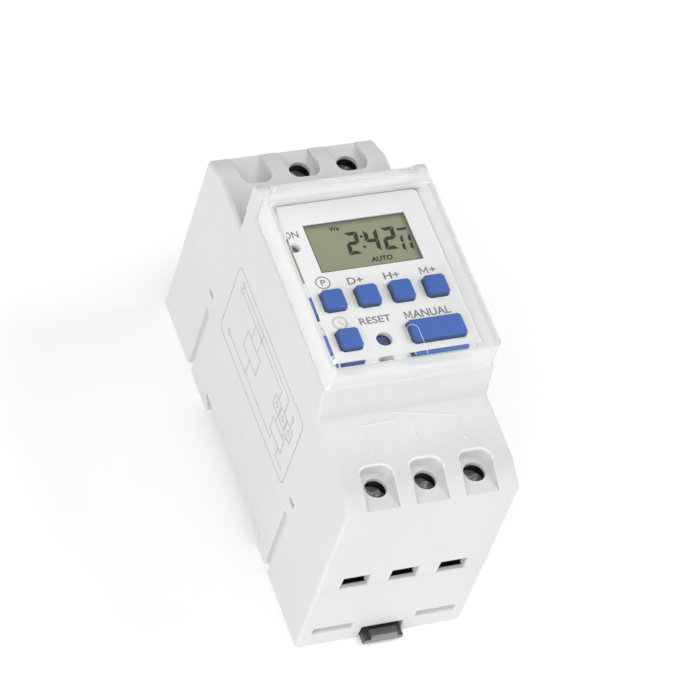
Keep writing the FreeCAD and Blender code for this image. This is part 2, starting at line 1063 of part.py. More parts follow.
def make_clamp_cage(x, end):
    """Rectangular sleeve that rises along the screw and clamps the wire."""
    y = end * (half_length - screw_depth)
    top = cage_bottom + cage_height
    cage = centred_block(x, y, cage_width, cage_length, cage_bottom, top)
    window_width = cage_width - 2 * cage_side_wall
    window = centred_block(
        x,
        y,
        window_width,
        cage_length,
        cage_bottom + cage_floor_wall,
        top - cage_top_wall,
    )
    thread = upright(x, y, screw_shank_radius + running_gap, top - cage_top_wall, top)
    return cage.cut([window, thread])


def bar_tail(x, end, gap):
    """Tail of a bar, or its hole in the board when given a gap."""
    width = bar_tail_width + 2 * gap
    near = bar_leg_depth - bar_thickness - gap
    far = bar_leg_depth + gap
    low = power_board_top - bar_tail_length
    return at_end(x, width, end, near, far, low, power_board_top)


def make_terminal_bar(x, end):
    """Flat strip through the cage that turns down to the power board."""
    strip = at_end(x, bar_width, end, bar_tip_depth, bar_leg_depth, bar_bottom, bar_top)
    leg_near = bar_leg_depth - bar_thickness
    leg = at_end(x, bar_width, end, leg_near, bar_leg_depth, power_board_top, bar_top)
    y = end * (half_length - bar_leg_depth)
    strip = strip.fuse(leg).removeSplitter()

    def outer_bend(edge):
        box = edge.BoundBox
        at_leg = abs(box.YMin - y) < 1e-6 and box.YLength < 1e-6
        return at_leg and lies_at(edge, bar_top, bar_top)

    strip = round_edges(strip, bar_bend_radius, outer_bend)
    return strip.fuse(bar_tail(x, end, 0)).removeSplitter()


# Power board and its pieces

def make_power_board():
    half = power_board_half
    reach = power_board_reach
    board = block(-half, half, -reach, reach, power_board_bottom, power_board_top)
    holes = [bar_tail(x, end, seat_gap) for x, end in terminals.values()]
    hole_radius = post_pin_radius + seat_gap
    for x, y in post_pin_places():
        holes.append(upright(x, y, hole_radius, power_board_bottom, power_board_top))
    return board.cut(holes)


def relay_block(width, y_low, y_high, z_low, z_high):
    """A box across the relay, placed from its middle and its foot."""
    return block(
        relay_x - width / 2,
        relay_x + width / 2,
        relay_y + y_low,
        relay_y + y_high,
        power_board_top + z_low,
        power_board_top + z_high,
    )


def relay_inner_half():
    return relay_length / 2 - relay_wall


def coil_start():
    return coil_back_gap + yoke_thickness - relay_inner_half()


def coil_level():
    return relay_base_height + coil_flange_size / 2


def yoke_end():
    """Where the yoke's arm ends, past the coil."""
    return coil_start() + coil_length + yoke_overhang


def yoke_top():
    return relay_base_height + coil_flange_size + moving_gap + yoke_thickness


def make_relay_case():
    half = relay_length / 2
    outer = relay_block(relay_width, -half, half, 0, relay_height)
    outer = round_edges(outer, edge_round, is_upright)
    inner = relay_inner_half()
    room_width = relay_width - 2 * relay_wall
    return outer.cut(relay_block(room_width, -inner, inner, 0, relay_height - relay_wall))


def make_relay_base():
    inner = relay_inner_half() - seat_gap
    width = relay_width - 2 * relay_wall - 2 * seat_gap
    return relay_block(width, -inner, inner, 0, relay_base_height)


def make_relay_coil():
    """Bobbin with its winding, bored for the core."""
    start = coil_start()
    end = start + coil_length
    low = relay_base_height
    high = low + coil_flange_size
    flanges = [
        relay_block(coil_flange_size, start, start + coil_flange_wall, low, high),
        relay_block(coil_flange_size, end - coil_flange_wall, end, low, high),
    ]
    z = power_board_top + coil_level()
    winding = lengthwise(relay_x, z, winding_radius, relay_y + start, relay_y + end)
    bore = lengthwise(
        relay_x, z, core_radius + seat_gap, relay_y + start - wall, relay_y + end + wall
    )
    return winding.fuse(flanges).cut(bore).removeSplitter()


def make_relay_yoke():
    """Bent iron frame with the core riveted in its back."""
    back = coil_start() - joining_gap - yoke_thickness
    top = yoke_top()
    plate = relay_block(yoke_width, back, back + yoke_thickness, relay_base_height, top)
    arm = relay_block(yoke_width, back, yoke_end(), top - yoke_thickness, top)
    z = power_board_top + coil_level()
    core_end = coil_start() + coil_length + core_proud
    core = lengthwise(relay_x, z, core_radius, relay_y + back, relay_y + core_end)
    return plate.fuse([arm, core]).removeSplitter()


def armature_face():
    """Where the resting armature's inner face stands along the relay."""
    return yoke_end() + armature_top_gap


def make_relay_armature():
    face = armature_face()
    return relay_block(
        yoke_width, face, face + armature_thickness, armature_bottom, yoke_top() - armature_top_gap
    )


def make_relay_contacts():
    """Three upright blades with facing rivets."""
    blades = []
    for place in range(3):
        y = contact_first + place * contact_spacing - contact_thickness
        z_high = relay_base_height + contact_height
        blade = relay_block(
            contact_width, y, y + contact_thickness, relay_base_height, z_high
        )
        rivet = lengthwise(
            relay_x,
            power_board_top + contact_rivet_level,
            contact_rivet_radius,
            relay_y + y - contact_rivet_height,
            relay_y + y,
        )
        blades.append(blade.fuse(rivet) if place else blade)
    return Part.makeCompound(blades)


def make_dropper_capacitor():
    top = power_board_top + dropper_height
    body = centred_block(
        dropper_x, dropper_y, dropper_width, dropper_length, power_board_top, top
    )
    return round_edges(body, dropper_round, is_upright)


def make_smoothing_capacitor():
    """Can that narrows at its foot."""
    top = power_board_top + can_height
    can = upright(dropper_x, can_y, can_radius, power_board_top, top)
    return bevel_rim(can, can_foot_bevel, power_board_top)


def bent_leads(x, y, reach, level):
    """Flat lead that runs along Y at one level and turns down to the board at both ends."""
    half = lead_width / 2
    outline = [
        (y - reach - lead_width, power_board_top),
        (y - reach - lead_width, level + half),
        (y + reach + lead_width, level + half),
        (y + reach + lead_width, power_board_top),
        (y + reach, power_board_top),
        (y + reach, level - half),
        (y - reach, level - half),
        (y - reach, power_board_top),
    ]
    return side_profile(outline, x - half, x + half)


def make_surge_resistor():
    """Round body that lies along Y on the board."""
    level = power_board_top + resistor_radius
    y_low = resistor_y - resistor_length / 2
    body = lengthwise(resistor_x, level, resistor_radius, y_low, y_low + resistor_length)
    reach = resistor_length / 2 + lead_reach
    return body.fuse(bent_leads(resistor_x, resistor_y, reach, level))


def make_bridge_rectifier():
    """Flat block that stands on four bent leads."""
    low = power_board_top + bridge_lift
    top = low + bridge_height
    body = centred_block(relay_x, bridge_y, bridge_width, bridge_length, low, top)
    level = (low + top) / 2
    reach = bridge_length / 2 + lead_width
    leads = [
        bent_leads(relay_x + side * bridge_lead_place, bridge_y, reach, level) for side in (-1, 1)
    ]
    return body.fuse(leads)


def make_driver_transistor():
    """Flat-fronted body standing on three legs."""
    low = power_board_top + transistor_lift
    body = upright(transistor_x, transistor_y, transistor_radius, low, low + transistor_height)
    flat = block(
        transistor_x - 2 * transistor_radius,
        transistor_x + 2 * transistor_radius,
        transistor_y + transistor_radius / 2,
        transistor_y + 2 * transistor_radius,
        low,
        low + transistor_height,
    )
    legs = [
        centred_block(
            transistor_x + place * transistor_leg_spacing,
            transistor_y,
            lead_width,
            lead_width,
            power_board_top,
            low,
        )
        for place in (-1, 0, 1)
    ]
    return body.cut(flat).fuse(legs)


def make_board_connectors():
    """Sockets on the power board and under the control board."""
    low = centred_block(
        0,
        low_header_y,
        header_width,
        header_length,
        power_board_top,
        power_board_top + header_height,
    )
    high = centred_block(
        0,
        high_header_y,
        header_width,
        header_length,
        control_board_bottom - header_height,
        control_board_bottom,
    )
    return Part.makeCompound([low, high])


def make_ribbon_cable():
    """Flat cable that runs up, over in two arcs and up again."""
    low = power_board_top + header_height
    high = control_board_bottom - header_height
    rise = high - low - 2 * ribbon_straight
    run = low_header_y - high_header_y
    bend = (rise ** 2 + run ** 2) / (4 * run)
    turn = math.asin(rise / 2 / bend)
    half = ribbon_thickness / 2
    x = -ribbon_width / 2
    first = Vector(x, low_header_y - bend, low + ribbon_straight)
    second = Vector(x, high_header_y + bend, high - ribbon_straight)

    def place(centre, radius, angle):
        return centre + Vector(0, radius * math.cos(angle), radius * math.sin(angle))

    def curve(offset):
        outward = bend + offset
        back = bend - offset
        start = place(first, outward, 0)
        middle = place(first, outward, turn)
        finish = place(second, back, math.pi)
        rising = Part.Arc(start, place(first, outward, turn / 2), middle)
        settling = Part.Arc(middle, place(second, back, math.pi + turn / 2), finish)
        foot = Vector(x, low_header_y + offset, low)
        head = Vector(x, high_header_y + offset, high)
        return [
            Part.makeLine(foot, start),
            rising.toShape(),
            settling.toShape(),
            Part.makeLine(finish, head),
        ]

    near = curve(half)
    far = curve(-half)
    foot = Part.makeLine(near[0].Vertexes[0].Point, far[0].Vertexes[0].Point)
    head = Part.makeLine(near[-1].Vertexes[-1].Point, far[-1].Vertexes[-1].Point)
    outline = Part.Wire(Part.__sortEdges__(near + far + [foot, head]))
    return Part.Face(outline).extrude(Vector(ribbon_width, 0, 0))


def save_all():
    os.makedirs("parts", exist_ok=True)
    save("base_housing", make_base_housing())
    save("front_housing", make_front_housing())
    save("face_plate", make_face_plate())
    save("clear_cover", make_clear_cover())
    save("rail_latch", make_rail_latch())
    save("lcd_glass", make_lcd_glass())
    save("lcd_frame", make_lcd_frame())
    save("zebra_strips", make_zebra_strips())
    save("control_board", make_control_board())
    save("control_chip", make_control_chip())
    save("quartz_crystal", make_quartz_crystal())
    save("backup_battery", make_backup_battery())
    save("battery_tabs", make_battery_tabs())
    save("status_led", make_status_led())
    for name, key in keys.items():
        save("key_" + name, make_rectangular_key(*key))
    save("key_reset", make_reset_key())
    switches = []
    for name, place in switch_places.items():
        save("plunger_" + name, make_plunger(*place))
        switches.append(make_tact_switch(*place))
    save("tact_switches", Part.makeCompound(switches))
    for number, place in terminals.items():
        save("terminal_screw_" + str(number), make_terminal_screw(*place))
        save("clamp_cage_" + str(number), make_clamp_cage(*place))
        save("terminal_bar_" + str(number), make_terminal_bar(*place))
    save("power_board", make_power_board())
    save("relay_case", make_relay_case())
    save("relay_base", make_relay_base())
    save("relay_coil", make_relay_coil())
    save("relay_yoke", make_relay_yoke())
    save("relay_armature", make_relay_armature())
    save("relay_contacts", make_relay_contacts())
    save("dropper_capacitor", make_dropper_capacitor())
    save("smoothing_capacitor", make_smoothing_capacitor())
    save("bridge_rectifier", make_bridge_rectifier())
    save("surge_resistor", make_surge_resistor())
    save("driver_transistor", make_driver_transistor())
    save("board_connectors", make_board_connectors())
    save("ribbon_cable", make_ribbon_cable())


save_all()
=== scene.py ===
import math

import bmesh
import bpy
from mathutils import Matrix, Vector
from mathutils.bvhtree import BVHTree


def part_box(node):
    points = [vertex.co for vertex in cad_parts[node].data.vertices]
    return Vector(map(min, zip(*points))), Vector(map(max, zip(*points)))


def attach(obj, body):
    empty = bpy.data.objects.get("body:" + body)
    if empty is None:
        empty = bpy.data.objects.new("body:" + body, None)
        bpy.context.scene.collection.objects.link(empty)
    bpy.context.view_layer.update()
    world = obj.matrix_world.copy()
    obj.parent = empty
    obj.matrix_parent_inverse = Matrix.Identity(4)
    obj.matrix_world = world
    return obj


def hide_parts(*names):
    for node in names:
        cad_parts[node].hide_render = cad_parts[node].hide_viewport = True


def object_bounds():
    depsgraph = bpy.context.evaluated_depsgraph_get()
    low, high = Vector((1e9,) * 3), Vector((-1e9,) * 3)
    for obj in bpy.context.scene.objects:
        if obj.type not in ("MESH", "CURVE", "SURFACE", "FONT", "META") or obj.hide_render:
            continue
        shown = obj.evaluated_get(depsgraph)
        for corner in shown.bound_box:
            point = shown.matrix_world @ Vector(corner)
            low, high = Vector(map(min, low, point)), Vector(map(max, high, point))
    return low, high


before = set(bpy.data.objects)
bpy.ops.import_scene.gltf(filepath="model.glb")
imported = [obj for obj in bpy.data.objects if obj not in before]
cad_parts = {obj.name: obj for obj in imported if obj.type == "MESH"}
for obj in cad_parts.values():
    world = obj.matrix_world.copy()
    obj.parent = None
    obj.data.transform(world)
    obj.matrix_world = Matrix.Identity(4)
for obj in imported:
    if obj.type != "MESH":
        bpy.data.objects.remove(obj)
cad_low, cad_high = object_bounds()

MM = 0.001
UP = Vector((0, 0, 1))

# Camera, as solved from the photograph's perspective
VIEW_AZIMUTH = math.radians(-35.803)
VIEW_ELEVATION = math.radians(51.31)
VIEW_ROLL = math.radians(20.771)
CAMERA_OFFSET = (8.263, 21.814, 820.235)
FOCAL_PIXELS = 4009.928
PICTURE_PIXELS = 700
SENSOR_WIDTH = 36.0
CLIPPING = (0.01, 20.0)

# Soft lamps, in metres and watts
LAMP_AIM = (0, 0, 0.03)
KEY_LAMP = ((0.72, -0.1, 0.8), 0.42, 3.5)
FILL_LAMP = ((-0.8, -0.7, 0.5), 0.8, 3.5)

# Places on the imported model, in millimetres
SIDE_X = -18.0
SHOULDER_Z = 49.6
FACE_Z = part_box("face_plate")[1].z / MM
GLASS_LOW, GLASS_HIGH = (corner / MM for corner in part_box("lcd_glass"))
GLASS_Z = GLASS_HIGH.z
WINDOW_WIDTH = 21.45
WINDOW_HEIGHT = 11.9
WINDOW_LEFT = (GLASS_LOW.x + GLASS_HIGH.x - WINDOW_WIDTH) / 2
WINDOW_TOP = (GLASS_LOW.y + GLASS_HIGH.y + WINDOW_HEIGHT) / 2
LAMP = sum(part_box("status_led"), Vector()) / 2 / MM
SCREWS = {n: sum(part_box("terminal_screw_%d" % n), Vector()) / 2 / MM for n in range(1, 6)}
KEY_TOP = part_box("key_manual")[1].z / MM
HEAD_BOTTOM = 41.1
THREAD_RADIUS = 1.75
THREAD_DEPTH = 0.26
THREAD_PITCH = 0.6
POCKET_START = 33
POCKET_HALF_SPAN = 14.5
HOLE_RIM_LEVELS = (45.5, 47.0)
HOLE_RIM_RADIUS = 2.4
CELL_DEPTHS = (1.15, 9.0)
CELL_HALF_SPAN = 14.15
CELL_LEVELS = (12.0, 45.85)
LATCH_NOSE_START = -40

# The lid: underside of its roof, the taper added under it, where its hinge end's ledges lie, and
# the levels between which its walls turn from milky to clear
LID_UNDERSIDE = 64.2
LID_REACH = (-20.4, 20.6)
LID_TAPER = 0.8
LID_LEDGES = (17.35, 17.8, 19.85, 20.25, 21.6)
MILKY_LEVELS = (62.6, 63.2)

# How far printed details stand proud of their surface, and reach into it
INK = 0.02
SUNK = 0.01

# Rounded copies: edges sharper than this are rounded, and shading stays crisp past it
CRISP_ANGLE = math.radians(32.0)
FLAT_ANGLE = math.radians(0.5)
ROUNDING_STEPS = 3
HOUSING_ROUNDING = 0.3
POCKET_ROUNDING = 0.42
HOLE_ROUNDING = 0.14
PLATE_ROUNDING = 0.12
LID_ROUNDING = 0.08
LATCH_ROUNDING = 0.2
KEY_ROUNDING = 0.12
SCREW_ROUNDING = 0.14

# Cosines: a rounded edge doesn't look down past the first, and an outline that turns past the
# second doubles back on itself
LOOKS_DOWN = -0.3
DOUBLES_BACK = -0.9

# Mesh sizes, as a distance and as areas of faces
SAME_POINT = 0.001 * MM
PLAIN_FACE = 12 * MM * MM
FOLDED_FACE = 20 * MM * MM
RIM_FACE = 4 * MM * MM


# Node helpers

def node(tree, kind, inputs=None, **settings):
    """Adds a shader node and fills or links its inputs."""
    made = tree.nodes.new("ShaderNode" + kind)
    for key, value in settings.items():
        setattr(made, key, value)
    for key, value in (inputs or {}).items():
        if isinstance(value, bpy.types.NodeSocket):
            tree.links.new(value, made.inputs[key])
        else:
            made.inputs[key].default_value = value
    return made


def ramp(tree, value, stops):
    """Colour ramp from (place, colour) stops."""
    made = node(tree, "ValToRGB", {"Fac": value})
    band = made.color_ramp
    while len(band.elements) < len(stops):
        band.elements.new(1.0)
    for element, (place, colour) in zip(band.elements, stops):
        element.position = place
        element.color = (*colour, 1.0)
    return made.outputs["Color"]


def start_finish(name):
    """New node material with its tree, its main shader and its coordinates."""
    made = bpy.data.materials.new("finish_" + name)
    made.use_nodes = True
    tree = made.node_tree
    place = node(tree, "TexCoord").outputs["Object"]
    return made, tree, tree.nodes["Principled BSDF"], place


def noise(tree, place, scale, detail=3.0):
    """Noise value with its scale in cycles per metre."""
    inputs = {"Vector": place, "Scale": scale, "Detail": detail}
    return node(tree, "TexNoise", inputs).outputs["Fac"]


def spread(tree, value, low, high, start=0.0, end=1.0, **settings):
    """Value that goes from low to high as another goes from start to end."""
    inputs = {
        "Value": value, "From Min": start, "From Max": end, "To Min": low, "To Max": high
    }
    return node(tree, "MapRange", inputs, **settings).outputs["Result"]


def shaded(tree, colour, shade):
    """Colour times a shade."""
    inputs = {0: colour, "Scale": shade}
    return node(tree, "VectorMath", inputs, operation="SCALE").outputs["Vector"]


def times(tree, one, other):
    """Product of two values."""
    return node(tree, "Math", {0: one, 1: other}, operation="MULTIPLY").outputs[0]


def bumped(tree, shader, height, distance):
    """Surface relief from a height pattern, distance in millimetres."""
    inputs = {"Height": height, "Distance": distance * MM, "Strength": 1.0}
    tree.links.new(node(tree, "Bump", inputs).outputs["Normal"], shader.inputs["Normal"])


def moulded(name, dark, light, rough, grain, relief, tone=70.0, **fixed):
    """Moulded material: tone drifts slowly, the grain is fine."""
    made, tree, shader, place = start_finish(name)
    drift = noise(tree, place, tone)
    tree.links.new(ramp(tree, drift, ((0.3, dark), (0.7, light))), shader.inputs["Base Color"])
    fine = noise(tree, place, grain)
    tree.links.new(spread(tree, fine, *rough), shader.inputs["Roughness"])
    bumped(tree, shader, fine, relief)
    for key, value in fixed.items():
        shader.inputs[key.replace("_", " ")].default_value = value
    return made


def banded(name, stops, rough, bands, relief, direction, metal=0.0):
    """Material with fine even bands, such as winding, ribbon cores or strips."""
    made, tree, shader, place = start_finish(name)
    inputs = {"Vector": place, "Scale": bands, "Distortion": 0.15, "Detail": 1.0}
    wave = node(tree, "TexWave", inputs, bands_direction=direction).outputs["Fac"]
    tree.links.new(ramp(tree, wave, stops), shader.inputs["Base Color"])
    tree.links.new(spread(tree, wave, *rough), shader.inputs["Roughness"])
    bumped(tree, shader, wave, relief)
    shader.inputs["Metallic"].default_value = metal
    return made


def board_finish():
    """Solder mask with tracks and tinned pads."""
    made, tree, shader, place = start_finish("board_green")
    cells = node(tree, "TexVoronoi", {"Vector": place, "Scale": 330.0}, distance="MANHATTAN")
    lines = node(
        tree, "TexVoronoi", {"Vector": place, "Scale": 210.0}, feature="DISTANCE_TO_EDGE"
    )
    track, mask, tin = (0.02, 0.16, 0.06), (0.01, 0.09, 0.04), (0.62, 0.63, 0.64, 1.0)
    tracks = ramp(
        tree, lines.outputs["Distance"], ((0.0, track), (0.08, track), (0.10, mask))
    )
    pads = ramp(
        tree, cells.outputs["Distance"], ((0.0, (1, 1, 1)), (0.13, (1, 1, 1)), (0.15, (0, 0, 0)))
    )
    inputs = {"Fac": pads, "Color1": tracks, "Color2": tin}
    both = node(tree, "MixRGB", inputs).outputs["Color"]
    tree.links.new(both, shader.inputs["Base Color"])
    tree.links.new(spread(tree, noise(tree, place, 900.0), 0.25, 0.4), shader.inputs["Roughness"])
    bumped(tree, shader, lines.outputs["Distance"], 0.03)
    return made


def clear_finish(name, upper):
    """Clear lid plastic: milky satin low down, and up to its top by the share `upper`."""
    made, tree, shader, place = start_finish(name)
    fine = noise(tree, place, 260.0)
    level = node(tree, "SeparateXYZ", {"Vector": place}).outputs["Z"]
    start, end = MILKY_LEVELS
    milky = spread(tree, level, 1.0, upper, start * MM, end * MM)
    tint = ramp(tree, milky, ((0.0, (0.995, 1.0, 1.0)), (1.0, (0.89, 0.893, 0.89))))
    tree.links.new(tint, shader.inputs["Base Color"])
    satin = times(tree, milky, 0.25)
    polish = spread(tree, fine, 0.0, 0.003)
    rough = node(tree, "Math", {0: satin, 1: polish}).outputs[0]
    tree.links.new(rough, shader.inputs["Roughness"])
    tree.links.new(spread(tree, milky, 1.0, 0.52), shader.inputs["Transmission Weight"])
    bumped(tree, shader, fine, 0.001)
    shader.inputs["IOR"].default_value = 1.5
    through = node(tree, "BsdfTransparent", {"Color": (1.0, 1.0, 1.0, 1.0)})
    is_lamp = node(tree, "LightPath").outputs["Is Shadow Ray"]
    mixed = node(tree, "MixShader", {0: is_lamp, 1: shader.outputs[0], 2: through.outputs[0]})
    output = tree.nodes["Material Output"]
    tree.links.new(mixed.outputs[0], output.inputs["Surface"])
    return made


def steel_finish(name, dark, middle, light):
    """Plated steel with turning marks and small scuffs."""
    made, tree, shader, place = start_finish(name)
    stretched = node(tree, "Mapping", {"Vector": place, "Scale": (1.0, 1.0, 8.0)}).outputs[0]
    marks = noise(tree, stretched, 1900.0, 5.0)
    stops = ((0.25, (dark,) * 3), (0.55, (middle,) * 3), (0.8, (light,) * 3))
    tree.links.new(ramp(tree, marks, stops), shader.inputs["Base Color"])
    tree.links.new(spread(tree, marks, 0.22, 0.48), shader.inputs["Roughness"])
    bumped(tree, shader, marks, 0.03)
    shader.inputs["Metallic"].default_value = 0.8
    return made


def display_finish():
    """Reflective liquid-crystal glass: olive ground, with painted shadow of the window's lip
    towards its far and right edges.
    """
    made, tree, shader, place = start_finish("display_glass")
    drift = noise(tree, place, 55.0)
    stops = ((0.25, (0.200, 0.218, 0.130)), (0.75, (0.236, 0.254, 0.157)))
    ground = ramp(tree, drift, stops)
    split = node(tree, "SeparateXYZ", {"Vector": place})
    # Painted shadow of the window's lip: the ground darkens towards the far and right edges
    painted_shadows = []
    for axis, edge, reach in (
        ("Y", WINDOW_TOP, 1.6),
        ("X", WINDOW_LEFT + WINDOW_WIDTH, 1.5),
    ):
        start, end = (edge - reach) * MM, (edge - 0.1) * MM
        value = split.outputs[axis]
        painted_shadows.append(
            spread(tree, value, 1.0, 0.42, start, end, interpolation_type="SMOOTHSTEP")
        )
    dimmed = shaded(tree, ground, times(tree, *painted_shadows))
    tree.links.new(dimmed, shader.inputs["Base Color"])
    fine = noise(tree, place, 7000.0)
    tree.links.new(spread(tree, fine, 0.3, 0.42), shader.inputs["Roughness"])
    bumped(tree, shader, fine, 0.004)
    return made


def key_finish():
    """Satin blue key, with painted shade that deepens its tone down its sides."""
    made, tree, shader, place = start_finish("key_blue")
    stops = ((0.3, (0.005, 0.072, 0.345)), (0.7, (0.008, 0.085, 0.38)))
    ground = ramp(tree, noise(tree, place, 70.0), stops)
    # Painted shade: the colour darkens down the key's sides, below its top
    level = node(tree, "SeparateXYZ", {"Vector": place}).outputs["Z"]
    shade = spread(tree, level, 0.42, 1.0, (KEY_TOP - 0.4) * MM, (KEY_TOP - 0.08) * MM)
    tree.links.new(shaded(tree, ground, shade), shader.inputs["Base Color"])
    fine = noise(tree, place, 5200.0)
    tree.links.new(spread(tree, fine, 0.42, 0.55), shader.inputs["Roughness"])
    bumped(tree, shader, fine, 0.015)
    return made


FINISHES = {
    "housing_white": moulded(
        "housing_white", (0.650, 0.651, 0.640), (0.680, 0.681, 0.671), (0.34, 0.48), 5200.0, 0.02
    ),
    "face_white": moulded(
        "face_white", (0.725, 0.728, 0.725), (0.755, 0.757, 0.755), (0.36, 0.48), 6200.0, 0.012
    ),
    "cover_clear": clear_finish("cover_clear", 0.0),
    "latch_grey": moulded(
        "latch_grey", (0.19, 0.19, 0.195), (0.24, 0.24, 0.245), (0.35, 0.5), 4800.0, 0.02
    ),
    "display_glass": display_finish(),
    "inner_black": moulded(
        "inner_black", (0.012, 0.012, 0.013), (0.03, 0.03, 0.032), (0.35, 0.55), 4200.0, 0.02
    ),
    "strip_rubber": banded(
        "strip_rubber", ((0.35, (0.62, 0.35, 0.38)), (0.5, (0.03, 0.03, 0.03))),
        (0.5, 0.7), 1600.0, 0.01, "X",
    ),
    "board_green": board_finish(),
    "bright_steel": steel_finish("bright_steel", 0.5, 0.84, 0.95),
    "contact_brass": moulded(
        "contact_brass", (0.60, 0.40, 0.16), (0.80, 0.60, 0.30), (0.2, 0.4), 2600.0, 0.02,
        tone=300.0, Metallic=1.0,
    ),
    "led_red": moulded(
        "led_red", (0.10, 0.045, 0.04), (0.22, 0.12, 0.11), (0.10, 0.20), 2000.0, 0.01,
        tone=400.0, Coat_Weight=0.5,
    ),
    "key_blue": key_finish(),
    "plunger_black": moulded(
        "plunger_black", (0.015, 0.015, 0.015), (0.04, 0.04, 0.04), (0.3, 0.45), 4200.0, 0.015
    ),
    "relay_shell": moulded(
        "relay_shell", (0.016, 0.045, 0.14), (0.026, 0.065, 0.19), (0.3, 0.42), 4800.0, 0.015
    ),
    "coil_winding": banded(
        "coil_winding", ((0.2, (0.16, 0.03, 0.015)), (0.6, (0.55, 0.17, 0.07))),
        (0.2, 0.35), 1500.0, 0.05, "Z", 0.6,
    ),
    "capacitor_case": moulded(
        "capacitor_case", (0.42, 0.13, 0.02), (0.50, 0.17, 0.03), (0.2, 0.32), 3200.0, 0.02,
        Coat_Weight=0.4,
    ),
    "can_sleeve": banded(
        "can_sleeve", ((0.86, (0.014, 0.016, 0.03)), (0.95, (0.35, 0.36, 0.38))),
        (0.2, 0.32), 45.0, 0.004, "X",
    ),
    "resistor_body": banded(
        "resistor_body",
        ((0.3, (0.46, 0.42, 0.34)), (0.62, (0.50, 0.46, 0.38)), (0.9, (0.16, 0.05, 0.03))),
        (0.35, 0.5), 190.0, 0.01, "Y",
    ),
    "ribbon_grey": banded(
        "ribbon_grey", ((0.15, (0.16, 0.16, 0.17)), (0.6, (0.42, 0.42, 0.43))),
        (0.4, 0.55), 420.0, 0.12, "X",
    ),
}
LID_WALL = clear_finish("lid_wall", 1.0)
LID_HAZE = clear_finish("lid_haze", 0.75)
# Dark steel for the clamp cages: painted shade, so that the wire slots look dark
CAGE_STEEL_PAINTED_SHADE = steel_finish("cage_steel_painted_shade", 0.05, 0.12, 0.22)
# Dark grey painted shade for the insides of the terminal cells, which are white plastic
CELL_PAINTED_SHADE = moulded(
    "cell_painted_shade", (0.13, 0.13, 0.125), (0.18, 0.18, 0.17), (0.5, 0.7), 4200.0, 0.02
)
# Near black painted shade for the latch's nose, which is grey plastic like the rest of the latch
LATCH_PAINTED_SHADE = moulded(
    "latch_painted_shade", (0.05, 0.05, 0.052), (0.08, 0.08, 0.082), (0.4, 0.55), 4800.0, 0.02
)
# Housing white made lighter as a painted highlight, for the raised wiring lines, the pocket rims
# and the lid's rib
RELIEF_HIGHLIGHT_WHITE = moulded(
    "relief_highlight_white", (0.735, 0.737, 0.73), (0.765, 0.767, 0.76), (0.34, 0.48), 5200.0, 0.012
)


def printed(name, dark, light, rough=(0.5, 0.7), relief=0.004, **fixed):
    """Printing ink with a fine uneven tone."""
    return moulded(name, dark, light, rough, 6000.0, relief, tone=900.0, **fixed)


INK_GREY = printed("ink_grey", (0.15, 0.15, 0.15), (0.21, 0.21, 0.205))
INK_PALE = printed("ink_pale", (0.40, 0.40, 0.39), (0.50, 0.50, 0.49))
INK_BEIGE = printed("ink_beige", (0.52, 0.48, 0.42), (0.60, 0.56, 0.50))
INK_DARK = printed(
    "ink_dark", (0.004, 0.009, 0.002), (0.008, 0.015, 0.005), (0.35, 0.5), 0.002,
    Specular_IOR_Level=0.15,
)
RIM_DARK = printed(
    "rim_dark", (0.05, 0.055, 0.045), (0.08, 0.085, 0.07), (0.4, 0.5), 0.002
)

for cad_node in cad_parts.values():
    for holder in cad_node.material_slots:
        holder.material = FINISHES[holder.material.name.split(".")[0]]
# The clamp cages take the dark steel: painted shade in the wire slots
for number in SCREWS:
    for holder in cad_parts["clamp_cage_%d" % number].material_slots:
        holder.material = CAGE_STEEL_PAINTED_SHADE


# Pieces that stand for CAD nodes with rounded edges

def new_piece(name, shell, finish, body):
    """Turns a bmesh into a piece that rides on a body."""
    mesh = bpy.data.meshes.new(name)
    shell.to_mesh(mesh)
    shell.free()
    piece = bpy.data.objects.new(name, mesh)
    bpy.context.scene.collection.objects.link(piece)
    mesh.materials.append(finish)
    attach(piece, body)
    return piece


def smooth(piece):
    """Smooth shading that stays crisp past an angle and flat on large faces."""
    for face in piece.data.polygons:
        face.use_smooth = face.area < PLAIN_FACE
    piece.data.set_sharp_from_angle(angle=CRISP_ANGLE)
    weighted = piece.modifiers.new("weighted", "WEIGHTED_NORMAL")
    weighted.keep_sharp = True
    weighted.weight = 90


def reaches_out(edge, tree):
    """True if a convex edge looks out of the shell, not into its room."""
    if len(edge.link_faces) != 2 or not edge.is_convex:
        return False
    out = (edge.link_faces[0].normal + edge.link_faces[1].normal).normalized()
    if out.z < LOOKS_DOWN:
        return False
    middle = (edge.verts[0].co + edge.verts[1].co) / 2
    return tree.ray_cast(middle + out * 0.05 * MM, out)[0] is None


def close_folds(mesh):
    """Welds the pairs of corners where the outline of a large flat face doubles back."""
    shell = bmesh.new()
    shell.from_mesh(mesh)
    welds = {}
    for face in shell.faces:
        if face.calc_area() < FOLDED_FACE:
            continue
        corners = [loop.vert for loop in face.loops]
        steps = [
            (after.co - corner.co).normalized()
            for corner, after in zip(corners, corners[1:] + corners[:1])
        ]
        for i, corner in enumerate(corners):
            after = (i + 1) % len(corners)
            turns = steps[i - 1].dot(steps[i]), steps[i].dot(steps[after])
            if max(turns) < DOUBLES_BACK:
                middle = (corner.co + corners[after].co) / 2
                corner.co = corners[after].co = middle
                welds[corner] = corners[after]
    bmesh.ops.weld_verts(shell, targetmap=welds)
    shell.to_mesh(mesh)
    shell.free()


